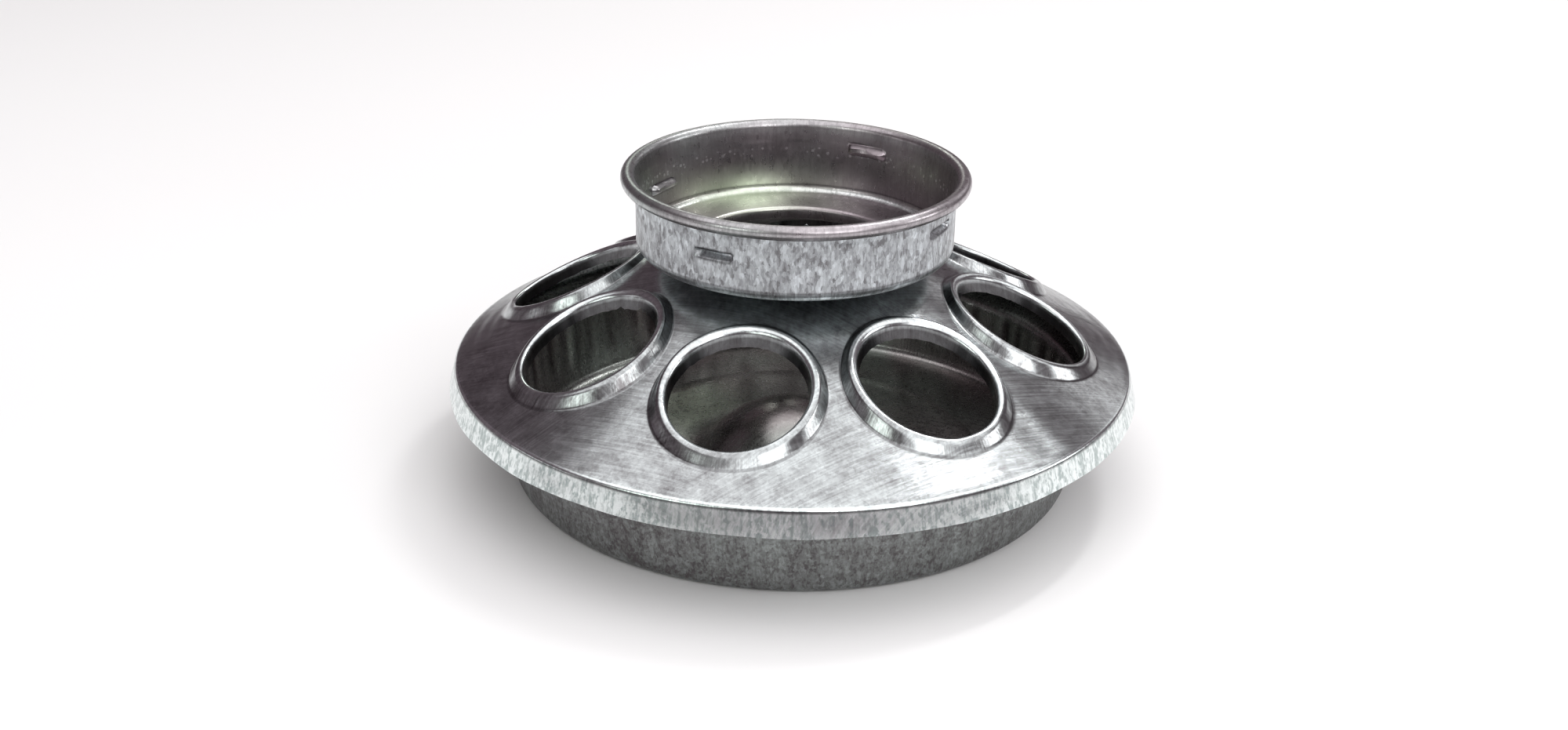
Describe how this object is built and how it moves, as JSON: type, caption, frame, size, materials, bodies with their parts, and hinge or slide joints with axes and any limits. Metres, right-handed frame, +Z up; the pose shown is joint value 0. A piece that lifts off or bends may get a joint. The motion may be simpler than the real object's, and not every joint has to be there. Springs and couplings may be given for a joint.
{
  "type": "poultry feeder base",
  "caption": "Round galvanised feeder base: shallow pan, press-on conical cover ringed with rimmed holes, and a jar collar with thread lugs.",
  "frame": {"origin": "centre of the plane the pan stands on", "axes": "+Z up along the object's axis, one feed hole centred on each of +X, +Y, -X and -Y"},
  "size_m": [0.1588, 0.1588, 0.0714],
  "materials": {
    "pan_zinc": "dull spangled zinc on drawn sheet, with draw streaks up the wall",
    "cover_zinc": "zinc burnished by the press, with fine buff scratches and bright rubbed rims",
    "collar_zinc": "bright mottled zinc spangle with faint upright draw lines"
  },
  "bodies": {
    "pan": {"base_pan": "pan_zinc"},
    "cover": {"feeder_cover": "cover_zinc", "jar_collar": "collar_zinc"}
  },
  "joints": [
    {"name": "cover_lift", "type": "slide", "parent": "pan", "child": "cover", "axis": [0, 0, 1], "range_m": [0, 0.06]}
  ]
}
